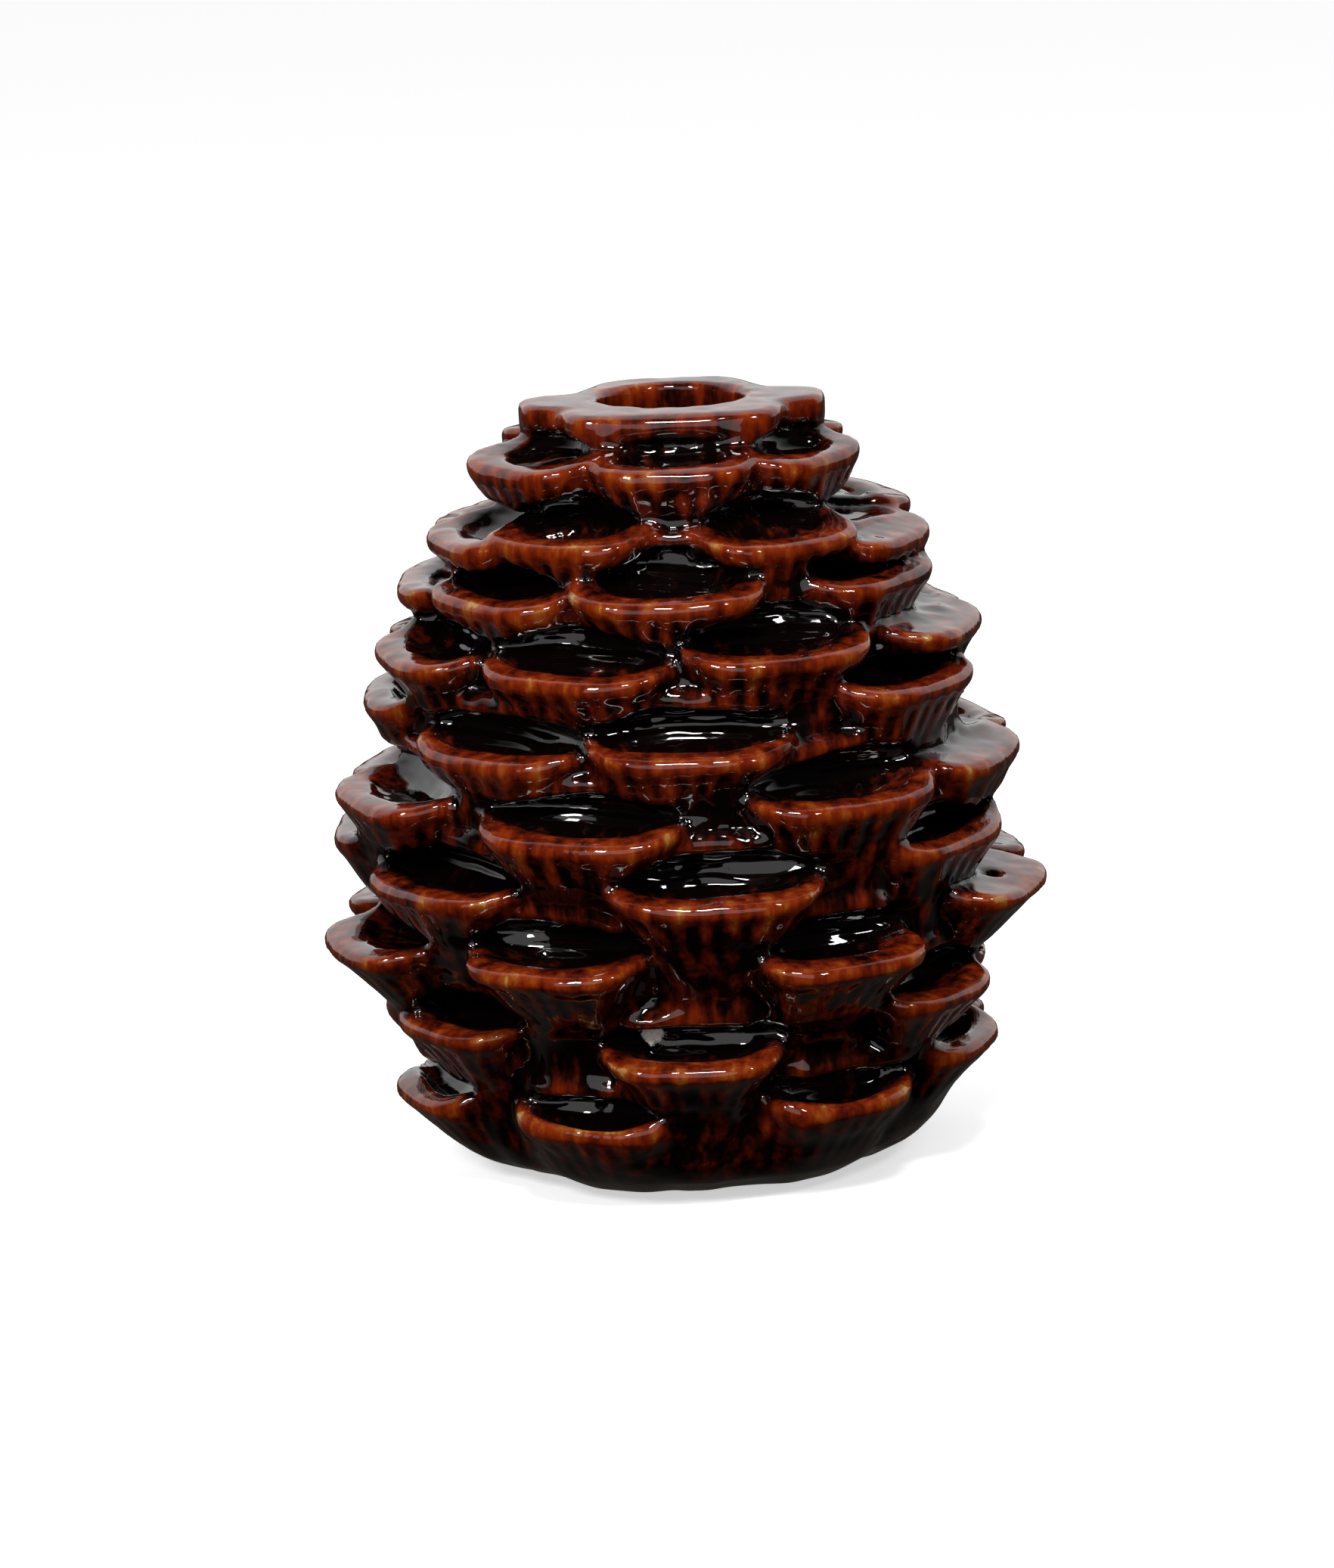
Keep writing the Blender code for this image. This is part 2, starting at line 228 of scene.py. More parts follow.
FOOT_SHOWS = 0.7
FOOT_SHOWS_ROUND = 1.0
FOOT_CLEARANCE = 0.3
FOOT_SEAT_ROUND = 0.5
FOOT_SEAT_EDGE = 0.3
BOWL_RADIUS = 27.5
BOWL_SPREAD = 2.6
BOWL_ROUND = 3.0

# A burst blister in the glaze, low on the front, that bares the clay
SPOT_AZIMUTH = math.radians(-8.4)
SPOT_OUT = 43.0
SPOT_HEIGHT = 28.6
SPOT_RADIUS = 1.7
CRATER_OUT = 0.9
CRATER_SIZE = 1.2
CRATER_ROUND = 0.4

# The box of the grid that one scale can change: its middle's share of the reach, spare width, and
# how far it goes below and above the lip
NEAR_MIDDLE = 0.75
NEAR_SPARE = 6.0
NEAR_BELOW = 26.0
NEAR_ABOVE = 9.0

FLUTE_SEED = 7
WAVE_SEED = 3
GRAIN_SEED = 4

# What the glaze is told about the surface
DROP_OVER = 14.0
FINE_BLUR = 1
BROAD_BLUR = max(2, round(2.6 / VOXEL))
POCKET_FADE = 0.6

Scale = namedtuple("Scale", "tier column azimuth lip_z reach half_width")


# --- Places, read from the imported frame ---


def node_points(name):
    """A CAD node's vertices in millimetres."""
    mesh = frame["nodes"][name].data
    flat = np.empty(len(mesh.vertices) * 3)
    mesh.vertices.foreach_get("co", flat)
    return flat.reshape(-1, 3) / MM


def scales_of_the_frame():
    """Every scale's azimuth, lip height and reach, from the CAD nodes, and its half width."""
    found = []
    for tier in range(1, TIER_COUNT + 1):
        stagger = FIRST_COLUMN + (PITCH / 2 if tier % 2 == 0 else 0.0)
        for column in range(SCALES_PER_TIER):
            azimuth = stagger + column * PITCH
            single = f"scale_{tier}_{column + 1}"
            points = node_points(single if single in frame["nodes"] else f"scale_whorl_{tier}")
            across = points[:, 0] * math.cos(azimuth) + points[:, 1] * math.sin(azimuth)
            along = points[:, 0] * math.sin(azimuth) - points[:, 1] * math.cos(azimuth)
            points = points[np.abs(np.arctan2(across, along)) < OWN_SECTOR * PITCH]
            tip = points[np.argmax(np.hypot(points[:, 0], points[:, 1]))]
            reach = math.hypot(tip[0], tip[1]) - LIP_DRAWN
            turned = math.atan2(tip[0], -tip[1])
            lip_z = tip[2] + LIP_ROUND
            found.append(Scale(tier, column + 1, turned, lip_z, reach, HALF_WIDTH[tier - 1]))
    return found


def core_radii(zs):
    """The body's radius at each height: the CAD's hollow body, and the swell of the joined clay."""
    points = node_points("hollow_body")
    heights = np.unique(np.round(points[:, 2], 2))
    rings = [points[np.abs(points[:, 2] - z) < SAME_HEIGHT] for z in heights]
    radii = [np.hypot(*ring[:, :2].T).max() for ring in rings]
    keep = [i for i, radius in enumerate(radii) if radius > NARROWEST_BODY]
    radius = np.interp(zs, heights[keep], np.array(radii)[keep]) + np.interp(zs, *zip(*SWELL))
    return radius.astype(np.float32)


def crown_heights():
    """Heights of the crown's underside and top."""
    low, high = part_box("crown")
    return low.z / MM, high.z / MM


# --- Distance fields ---


def smooth_min(a, b, k):
    """The two shapes joined, with a fillet about k wide."""
    h = np.maximum(k - np.abs(a - b), 0.0) / k
    return np.minimum(a, b) - h * h * k * 0.25


def smooth_max(a, b, k):
    """What the two shapes share, with edges rounded over about k."""
    return -smooth_min(-a, -b, k)


def outline(u, q, half, depth, power):
    """Distance-like field of a plan outline: rounded beyond q = 0, straight-sided before it."""
    a = np.abs(u) / half
    b = np.maximum(q, 0.0) / depth
    g = np.maximum((a**power + b**power) ** (1 / power), OUTLINE_CORE)
    slope = np.hypot(a ** (power - 1) / half, b ** (power - 1) / depth) / g ** (power - 1)
    return (g - 1) / np.maximum(slope, OUTLINE_LEAST / depth)


def wedge(u, v, w, core, scale, phase):
    """The half-funnel of clay below one scale's lip, and how much each of its points is a rib.

    u runs across the scale, v out from the axis and w up from the lip.
    """
    down = np.maximum(-w, 0.0)
    share = np.clip(1.0 - down / WEDGE_LENGTH, 0.0, 1.0)
    stem = STEM_SHARE[scale.tier - 1]
    half = scale.half_width * (stem + (1 - stem) * share**NARROWING)
    depth = OUTLINE_DEPTH * half
    drawn = scale.reach - DRAW_IN[scale.tier - 1] * np.maximum(down - FACE, 0.0)
    height = w + scale.lip_z
    proud = STEM_PROUD * np.clip((height - STEM_PROUD_FROM) / STEM_PROUD_OVER, 0.0, 1.0)
    reach = smooth_max(drawn, core + proud, STEM_ROUND)
    q = v - (reach - depth)
    turn = np.arctan2(u / half, np.maximum(q, 0.0) / depth + 1e-6)
    turn += np.sign(u) * np.maximum(-q, 0.0) / half
    grown = np.clip((down - FLUTES_FROM) / FLUTES_GROW_OVER, 0.0, 1.0)
    fading = 1.0 - FLUTES_FADE * np.clip((down - FLUTES_FADE_FROM) / FLUTES_FADE_OVER, 0.0, 1.0)
    drift = FLUTE_DRIFT * np.sin(FLUTE_DRIFTS * turn + phase)
    ribs = grown * fading * np.cos(FLUTES * turn + drift + phase)
    side = outline(u, q, half, depth, OUTLINE_POWER) * OUTLINE_SLOPE - FLUTE_DEPTH * ribs
    top = (w - TOP_TILT * (scale.reach - v)) * TOP_SLOPE
    return smooth_max(side, top, LIP_RADIUS * 2), ribs


def pocket(u, v, w, core, scale):
    """The scoop over one scale, cut into its top and into the body behind it, and its brow."""
    closed = CLOSED_POCKETS.get((scale.tier, scale.column))
    middle = core + POCKET_CENTRE
    q = v - middle
    across = np.maximum(np.minimum(scale.half_width - SIDE_RIM, FAN * v), 1.0)
    front = np.maximum(scale.reach - FRONT_RIM - middle, SHORTEST_POCKET)
    out = np.where(q > 0, front, POCKET_BACK)
    raised = POCKET_MIDDLE if scale.tier > 1 else TOP_TIER_MIDDLE
    up = POCKET_UP[scale.tier - 1] - raised
    tilt = TOP_TILT * np.clip(scale.reach - v, 0.0, POCKET_TILT_OVER) * POCKET_TILT
    lift = w - raised - tilt
    tall = np.where(lift > 0, up, POCKET_DOWN + raised)
    if closed is None:
        g = np.sqrt((u / across) ** 2 + (q / out) ** 2 + (lift / tall) ** 2)
        scoop = (g - 1) * np.minimum(tall, out) * POCKET_SLOPE
    elif closed == 0.0:
        scoop = np.full_like(lift, FAR)
    else:
        inward = v - scale.reach + PINHOLE_IN
        scoop = np.sqrt(u**2 + inward**2 + PINHOLE_TALL * (w - PINHOLE_UP) ** 2) - closed
    if closed is not None or scale.tier == 1:
        return scoop, np.full_like(lift, FAR)
    beside, before, above = across + BROW_SIDE, out + BROW, tall + BROW
    hood = np.sqrt((u / beside) ** 2 + (q / before) ** 2 + (lift / above) ** 2)
    brow = (hood - 1) * (np.minimum(tall, out) + BROW) * POCKET_SLOPE
    return scoop, smooth_max(brow, v - core - BROW_PROUD, BROW_ROUND)


def crown_radius(azimuth):
    """Radius of the crown's lobed outline."""
    total = CROWN_THROAT**LOBE_BLEND
    for lobe in CROWN_LOBES:
        along = np.cos(azimuth - lobe.azimuth)
        across = np.abs(np.sin(azimuth - lobe.azimuth))
        n = lobe.squareness
        ahead = np.maximum(along, LOBE_LEAST) / lobe.reach
        reach = (ahead**n + (across / lobe.half_width) ** n) ** (-1 / n)
        total = total + np.where(along > LOBE_LEAST, reach, 0.0) ** LOBE_BLEND
    return total ** (1 / LOBE_BLEND)


def crown_field(x, y, z, r):
    """The lobed collar round the cup's mouth."""
    base, top = crown_heights()
    around = np.arctan2(x, -y)
    edge = crown_radius(around)
    rise = crown_radius(around + CROWN_STEP) - crown_radius(around - CROWN_STEP)
    steep = rise / (2 * CROWN_STEP) / edge
    middle, thick = (top + base - CROWN_SAG) / 2, (top - base + CROWN_SAG) / 2
    return smooth_max((r - edge) / np.sqrt(1 + steep**2), np.abs(z - middle) - thick, CROWN_EDGE)


# --- Grids ---


def smooth_noise(shape, step, seed):
    """Soft random field of about unit strength whose bumps are step voxels apart."""
    rng = np.random.default_rng(seed)
    coarse = rng.standard_normal([int(n / step) + 3 for n in shape])
    for axis, count in enumerate(shape):
        at = np.arange(count) / step
        low = at.astype(int)
        t = at - low
        t = t * t * (3 - 2 * t)
        t = t.reshape([-1 if a == axis else 1 for a in range(3)])
        coarse = np.take(coarse, low, axis) * (1 - t) + np.take(coarse, low + 1, axis) * t
    return coarse.astype(np.float32)


def blurred(field, radius):
    """The field averaged three times over a cube of that many voxels each way, near a Gaussian."""
    width = 2 * radius + 1
    for _ in range(3):
        for axis in range(3):
            spare = [(radius + 1, radius) if a == axis else (0, 0) for a in range(3)]
            total = np.cumsum(np.pad(field, spare, mode="edge"), axis=axis, dtype=np.float32)
            high = np.take(total, range(width, total.shape[axis]), axis)
            low = np.take(total, range(0, total.shape[axis] - width), axis)
            field = (high - low) / width
    return field


def sampled(field, points):
    """Trilinear values of a grid at points given in voxels."""
    low = np.clip(points.astype(int), 0, np.array(field.shape) - 2)
    t = points - low
    total = 0.0
    for dx in (0, 1):
        for dy in (0, 1):
            for dz in (0, 1):
                share = (
                    (t[:, 0] if dx else 1 - t[:, 0])
                    * (t[:, 1] if dy else 1 - t[:, 1])
                    * (t[:, 2] if dz else 1 - t[:, 2])
                )
                total = total + share * field[low[:, 0] + dx, low[:, 1] + dy, low[:, 2] + dz]
    return total


def near(scale, xs, ys, zs):
    """The slices of the grid that hold all that one scale can change."""
    centre = NEAR_MIDDLE * scale.reach
    cx, cy = centre * math.sin(scale.azimuth), -centre * math.cos(scale.azimuth)
    half_box = scale.half_width + (1 - NEAR_MIDDLE) * scale.reach + NEAR_SPARE
    return (
        slice(*np.searchsorted(xs, [cx - half_box, cx + half_box])),
        slice(*np.searchsorted(ys, [cy - half_box, cy + half_box])),
        slice(*np.searchsorted(zs, [scale.lip_z - NEAR_BELOW, scale.lip_z + NEAR_ABOVE])),
    )


def scale_grids(xs, ys, zs, core_at):
    """Grids of what the scales add, cut and say about the glaze.

    wedges, hoods and lips are added clay and hollow is cut, with edges as soft as softness.
    nearest is the field of the nearest scale, drop is 0 at its lip and 1 far below, and rib says
    how much a point is one of its ribs.
    """
    starts = {
        "wedges": FAR,
        "hoods": FAR,
        "lips": FAR,
        "hollow": FAR,
        "softness": POCKET_EDGE,
        "nearest": FAR,
        "drop": 1.0,
        "rib": 0.0,
    }
    counts = (len(xs), len(ys), len(zs))
    grids = {name: np.full(counts, start, np.float32) for name, start in starts.items()}
    x, y, z = np.meshgrid(xs, ys, zs, indexing="ij", sparse=True)
    rng = np.random.default_rng(FLUTE_SEED)
    for scale in scales_of_the_frame():
        phase = rng.uniform(0, 2 * math.pi)
        box = near(scale, xs, ys, zs)
        at = {name: grid[box] for name, grid in grids.items()}
        bx, by, bz = x[box[0]], y[:, box[1]], z[:, :, box[2]]
        u = bx * math.cos(scale.azimuth) + by * math.sin(scale.azimuth)
        v = bx * math.sin(scale.azimuth) - by * math.cos(scale.azimuth)
        u, v, w = np.broadcast_arrays(u, v, bz - scale.lip_z)
        core = core_at[box[2]][None, None, :]
        solid, ribs = wedge(u, v, w, core, scale, phase)
        solid = smooth_max(solid, (core - WEDGE_ROOT) - v, WEDGE_ROOT_ROUND)
        scoop, brow = pocket(u, v, w, core, scale)
        edge = np.clip(POCKET_EDGE + EDGE_GROWTH * w, POCKET_EDGE, BROW_EDGE)
        slab = smooth_max(solid, -(w + LIP_KEPT), LIP_BLEND)
        mine = solid < at["nearest"]
        # Each of these is a view, so filling it fills the whole grid
        at["wedges"][:] = smooth_min(at["wedges"], solid, SEAM)
        at["hoods"][:] = np.minimum(at["hoods"], brow)
        at["lips"][:] = np.minimum(at["lips"], smooth_max(slab, -scoop, POCKET_EDGE))
        at["softness"][:] = np.where(scoop < at["hollow"], edge, at["softness"])
        at["hollow"][:] = np.minimum(at["hollow"], scoop)
        at["drop"][:] = np.where(mine, np.clip(-w / DROP_OVER, 0.0, 1.0), at["drop"])
        at["rib"][:] = np.where(mine, ribs, at["rib"])
        at["nearest"][:] = np.minimum(at["nearest"], solid)
    return grids


# --- The joined holder ---


def joined(scales, core_at, x, y, z, r):
    """Body, scales and crown as one field, with the pockets cut."""
    base, top = crown_heights()
    counts = scales["wedges"].shape
    body = np.broadcast_to((r - core_at) * BODY_SLOPE, counts)
    body = np.ascontiguousarray(body).astype(np.float32)
    body = smooth_max(body, z - (top - BODY_BELOW_TOP), BODY_TOP_ROUND)
    clay = smooth_min(scales["wedges"], scales["hoods"], HOOD_SEAM)
    body = smooth_min(body, clay, FILLET)
    body = smooth_min(body, crown_field(x, y, z, r), CROWN_FILLET)
    body = smooth_max(body, z - top, CROWN_TOP_ROUND)
    body = smooth_max(body, -scales["hollow"], scales["softness"])
    lips = smooth_max(scales["lips"], z - (base - CROWN_CLEAR), LIP_BLEND)
    return smooth_min(body, lips, LIP_BLEND)


def bored(body, z, r):
    """The holder with the candle cup's bore, as wide and deep as the CAD's."""
    inner = node_points("candle_cup")
    rim = inner[inner[:, 2] > inner[:, 2].max() - RIM_DEPTH]
    bore = np.hypot(*rim[:, :2].T).min()
    cup_floor = np.unique(np.round(inner[:, 2], 2))[1]
    mouth = smooth_max(r - bore, cup_floor - z, CUP_FLOOR_ROUND)
    return smooth_max(body, -mouth, CUP_MOUTH_ROUND)


def uneven(body, z):
    """The holder with the small waves of hand-made clay, and the glaze's own."""
    base, top = crown_heights()
    middle = (top + base - CROWN_SAG) / 2
    off_crown = np.clip((np.abs(z - middle) - WAVES_CLEAR) / WAVES_GROW_OVER, 0, 1)
    waves = smooth_noise(body.shape, WAVE_WIDTH / VOXEL, WAVE_SEED)
    grain = smooth_noise(body.shape, GRAIN_WIDTH / VOXEL, GRAIN_SEED)
    return body + WAVE_HEIGHT * waves * off_crown + GRAIN_HEIGHT * grain


def footed(body, z, r):
    """The holder with its bowl-shaped underside, ended just above the table round the foot."""
    foot_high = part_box("foot")[1]
    beside, above = foot_high.x / MM + FOOT_CLEARANCE, foot_high.z / MM + FOOT_CLEARANCE
    seat = smooth_max(r - beside, z - above, FOOT_SEAT_ROUND)
    bowl = (r - BOWL_RADIUS - BOWL_SPREAD * z) / math.hypot(1.0, BOWL_SPREAD)
    body = smooth_max(body, bowl, BOWL_ROUND)
    body = smooth_max(body, FOOT_SHOWS - z, FOOT_SHOWS_ROUND)
    return smooth_max(body, -seat, FOOT_SEAT_EDGE)


def blistered(body, xs, ys, zs):
    """The holder with the blister's crater, and each point's distance from the blister."""
    spot_x, spot_z = SPOT_OUT * math.sin(SPOT_AZIMUTH), SPOT_HEIGHT
    column = body[np.searchsorted(xs, spot_x), :, np.searchsorted(zs, spot_z)]
    spot_y = ys[np.argmax(column < 0.0)]
    x, y, z = np.meshgrid(xs, ys, zs, indexing="ij", sparse=True)
    beside, above = (x - spot_x) ** 2, (z - spot_z) ** 2
    away = np.sqrt(beside + (y - spot_y) ** 2 + above)
    crater = np.sqrt(beside + (y - spot_y + SPOT_RADIUS * CRATER_OUT) ** 2 + above)
    return smooth_max(body, SPOT_RADIUS * CRATER_SIZE - crater, CRATER_ROUND), away


def sculpt():
    """Points, quads and glaze attributes of the fused, glazed holder."""
    low = np.array([cad_low[0], cad_low[1], cad_low[2]]) / MM - MARGIN
    high = np.array([cad_high[0], cad_high[1], cad_high[2]]) / MM + MARGIN
    counts = np.ceil((high - low) / VOXEL).astype(int) + 1
    xs, ys, zs = (low[a] + VOXEL * np.arange(counts[a], dtype=np.float32) for a in range(3))
    x, y, z = np.meshgrid(xs, ys, zs, indexing="ij", sparse=True)
    r = np.sqrt(x * x + y * y)
    core_at = core_radii(zs)
    scales = scale_grids(xs, ys, zs, core_at)
    body = joined(scales, core_at, x, y, z, r)
    body = bored(body, z, r)
    body = uneven(body, z)
    body = footed(body, z, r)
    body, away = blistered(body, xs, ys, zs)

    grid = openvdb.FloatGrid(background=MESHED_BAND)
    grid.copyFromArray(np.clip(body, -MESHED_BAND, MESHED_BAND).astype(np.float32))
    points, quads = grid.convertToQuads(isovalue=0.0)
    inside = np.clip(0.5 - body / VOXEL, 0.0, 1.0).astype(np.float32)
    values = {
        "glaze_fine": 2 * sampled(blurred(inside, FINE_BLUR), points) - 1,
        "glaze_broad": 2 * sampled(blurred(inside, BROAD_BLUR), points) - 1,
        "glaze_drop": sampled(scales["drop"], points),
        "glaze_rib": sampled(scales["rib"], points),
        "glaze_pocket": np.clip(1.0 - sampled(scales["hollow"], points) / POCKET_FADE, 0.0, 1.0),
        "bare_distance": sampled(away, points),
    }
    return (points * VOXEL + low) * MM, quads, values


def skin():
    """The glazed skin as a mesh object."""
    points, quads, values = sculpt()
    mesh = bpy.data.meshes.new("glazed_pine_cone")
    mesh.vertices.add(len(points))
    mesh.vertices.foreach_set("co", points.astype(np.float32).ravel())
    mesh.loops.add(len(quads) * 4)
    mesh.loops.foreach_set("vertex_index", quads.astype(np.int32).ravel())
    mesh.polygons.add(len(quads))
    mesh.polygons.foreach_set("loop_start", np.arange(0, len(quads) * 4, 4, dtype=np.int32))
    mesh.polygons.foreach_set("loop_total", np.full(len(quads), 4, np.int32))
    mesh.update(calc_edges=True)
    mesh.shade_smooth()
    for name, value in values.items():
        layer = mesh.attributes.new(name, "FLOAT", "POINT")
        layer.data.foreach_set("value", value.astype(np.float32))
    obj = bpy.data.objects.new("glazed_pine_cone", mesh)
    bpy.context.scene.collection.objects.link(obj)
    return obj


# --- Shader nodes ---


def new_material(name):
    """A material, its node tree and its Principled shader."""
    made = bpy.data.materials.new(name)
    made.use_nodes = True
    tree = made.node_tree
    return made, tree, tree.nodes["Principled BSDF"]


def attribute(tree, name):
    """One of the values that sculpt() stored on the skin's vertices."""
    node = tree.nodes.new("ShaderNodeAttribute")
    node.attribute_name = name
    return node.outputs["Fac"]


def maths(tree, operation, a, b=None, c=None, clamp=False):
    """A Math node of sockets and plain numbers."""
    node = tree.nodes.new("ShaderNodeMath")
    node.operation = operation
    node.use_clamp = clamp
    for socket, value in zip(node.inputs, (a, b, c)):
        if value is None:
            continue
        if isinstance(value, (int, float)):
            socket.default_value = value
        else:
            tree.links.new(value, socket)
    return node.outputs[0]


def axis_part(tree, vector, axis):
    """The X, Y or Z of a vector."""
    node = tree.nodes.new("ShaderNodeSeparateXYZ")
    tree.links.new(vector, node.inputs["Vector"])
    return node.outputs[axis]


def noise(tree, size, detail=3.0, roughness=0.55, stretch=(1, 1, 1)):
    """Noise in object space whose blotches are about size millimetres across."""
    place = tree.nodes.new("ShaderNodeTexCoord")
    mapping = tree.nodes.new("ShaderNodeMapping")
    mapping.inputs["Scale"].default_value = stretch
    node = tree.nodes.new("ShaderNodeTexNoise")
    node.inputs["Scale"].default_value = 1.0 / (size * MM)
    node.inputs["Detail"].default_value = detail
    node.inputs["Roughness"].default_value = roughness
    tree.links.new(place.outputs["Object"], mapping.inputs["Vector"])
    tree.links.new(mapping.outputs["Vector"], node.inputs["Vector"])
    return node.outputs["Fac"]


def ramp(tree, factor, stops):
    """Colours by a factor: stops are pairs of position and colour."""
    node = tree.nodes.new("ShaderNodeValToRGB")
    while len(node.color_ramp.elements) < len(stops):
        node.color_ramp.elements.new(0.5)
    for element, (position, colour) in zip(node.color_ramp.elements, stops):
        element.position = position
        element.color = (*colour, 1.0)
    tree.links.new(factor, node.inputs["Fac"])
    return node.outputs["Color"]


def mixed(tree, factor, a, b, blend="MIX"):
    """Two colours mixed. Each of the three is a socket, or a plain number or colour."""
    node = tree.nodes.new("ShaderNodeMix")
    node.data_type = "RGBA"
    node.blend_type = blend
    for name, value in (("Factor", factor), ("A", a), ("B", b)):
        if isinstance(value, (float, tuple)):
            node.inputs[name].default_value = value
        else:
            tree.links.new(value, node.inputs[name])
    return node.outputs["Result"]


def bumped(tree, shader, height, strength, distance):
    """Gives the shader a bump of at most that many millimetres."""
    bump = tree.nodes.new("ShaderNodeBump")
    bump.inputs["Strength"].default_value = strength
    bump.inputs["Distance"].default_value = distance * MM
    tree.links.new(height, bump.inputs["Height"])
    tree.links.new(bump.outputs["Normal"], shader.inputs["Normal"])


# --- Materials ---

# How much each trait of the surface thins the glaze, or thickens it if the number is below zero
PLAIN_THINNESS = 0.34
THINNING = {
    "fine": -0.34,
    "edge": 2.5,
    "broad": -0.45,
    "ribs": 0.24,
    "lower": -0.19,
    "pocket": -0.28,
    # Painted light, not glaze: the up-facing floors of the pockets are lightened as if lit from
    # above
    "painted_top_light_in_pockets": 0.15,
}
EDGE_FROM = -0.26
LOWER_GAIN = 2.0

# The glaze's random streaks and blotches, which thin and thicken it
Blotch = namedtuple("Blotch", "size stretch gain offset")
RUNS = Blotch(2.4, (1, 1, 0.2), 1.5, -0.76)
MOTTLE = Blotch(7.0, (1, 1, 1), 0.7, -0.35)
SPECK = Blotch(1.1, (1, 1, 1), 0.36, -0.18)

# From the thickest glaze to the thinnest
GLAZE_COLOURS = [
    (0.0, (0.0015, 0.0006, 0.0005)),
    (0.15, (0.006, 0.0012, 0.0007)),
    (0.30, (0.030, 0.0030, 0.0011)),
    (0.50, (0.082, 0.0072, 0.0015)),
    (0.72, (0.150, 0.017, 0.0022)),
    (0.90, (0.190, 0.048, 0.006)),
    (1.0, (0.26, 0.13, 0.035)),
]
GLAZE_ROUGHNESS = 0.05
GLAZE_IOR = 1.52

BARE_COLOURS = [(0.3, (0.70, 0.60, 0.52)), (0.7, (0.95, 0.90, 0.84))]
BARE_GRAIN = 0.5
BARE_EDGE = 3.0
BARE_ROUGHER = 0.75
RAGGED = Blotch(0.9, (1, 1, 1), 1.6, -0.8)

# Level ripples in the glaze, stronger in the pockets and absent under an overhang
RIPPLE = 1.9
RIPPLE_WANDER = 9.0
RIPPLE_WANDER_SIZE = 14.0
RIPPLE_IN_POCKETS = 0.45
RIPPLE_ELSEWHERE = 0.10
OVERHANG_GAIN = 4.0
OVERHANG_OFFSET = 1.2
ORANGE_PEEL = 0.4
ORANGE_PEEL_SIZE = 3.5
GLAZE_RELIEF = 0.09

CLAY_COLOURS = [(0.3, (0.42, 0.30, 0.19)), (0.7, (0.66, 0.53, 0.38))]
CLAY_GRAIN = 0.8
CLAY_ROUGHNESS = 0.85
CLAY_BUMP = 0.4
CLAY_RELIEF = 0.1


def blotches(tree, kind):
    """Noise of one kind, with its gain and offset."""
    plain = noise(tree, kind.size, stretch=kind.stretch)
    return maths(tree, "MULTIPLY_ADD", plain, kind.gain, kind.offset)


def thinness(tree, pocketed, upward):
    """How thin the glaze lies: 0 in the deepest pool, 1 on the sharpest lip. Up-facing pocket
    floors are lifted towards 1 as painted light from above, not as thinner glaze.
    """
    fine = attribute(tree, "glaze_fine")
    lower = maths(tree, "MULTIPLY", attribute(tree, "glaze_drop"), LOWER_GAIN, clamp=True)
    sharp = maths(tree, "MAXIMUM", maths(tree, "MULTIPLY_ADD", fine, -1.0, EDGE_FROM), 0.0)
    traits = {
        "fine": fine,
        "edge": maths(tree, "MULTIPLY", sharp, maths(tree, "SUBTRACT", 1.0, lower)),
        "broad": attribute(tree, "glaze_broad"),
        "ribs": attribute(tree, "glaze_rib"),
        "lower": lower,
        "pocket": pocketed,
        # Painted light from above: pocket floors lighter the more they face up
        "painted_top_light_in_pockets": maths(tree, "MULTIPLY", maths(tree, "MAXIMUM", upward, 0.0), pocketed),
    }
    thin = PLAIN_THINNESS
    for name, share in THINNING.items():
        thin = maths(tree, "MULTIPLY_ADD", traits[name], share, thin)
    thin = maths(tree, "ADD", thin, blotches(tree, RUNS))
    thin = maths(tree, "ADD", thin, blotches(tree, MOTTLE))
    return maths(tree, "ADD", thin, blotches(tree, SPECK), clamp=True)


def glaze_relief(tree, pocketed, upward):
    """Height of the glaze's ripples and of its slight orange peel."""
    place = tree.nodes.new("ShaderNodeTexCoord")
    height = axis_part(tree, place.outputs["Object"], "Z")
    wandering = noise(tree, RIPPLE_WANDER_SIZE, detail=1.0)
    wander = maths(tree, "MULTIPLY", wandering, RIPPLE_WANDER)
    angle = maths(tree, "MULTIPLY_ADD", height, 2 * math.pi / (RIPPLE * MM), wander)
    depth = maths(tree, "MULTIPLY_ADD", pocketed, RIPPLE_IN_POCKETS, RIPPLE_ELSEWHERE)
    open_air = maths(tree, "MULTIPLY_ADD", upward, OVERHANG_GAIN, OVERHANG_OFFSET, clamp=True)
    depth = maths(tree, "MULTIPLY", depth, open_air)
    ripple = maths(tree, "MULTIPLY", maths(tree, "SINE", angle), depth)
    peel = noise(tree, ORANGE_PEEL_SIZE, detail=1.0)
    return maths(tree, "MULTIPLY_ADD", peel, ORANGE_PEEL, ripple)


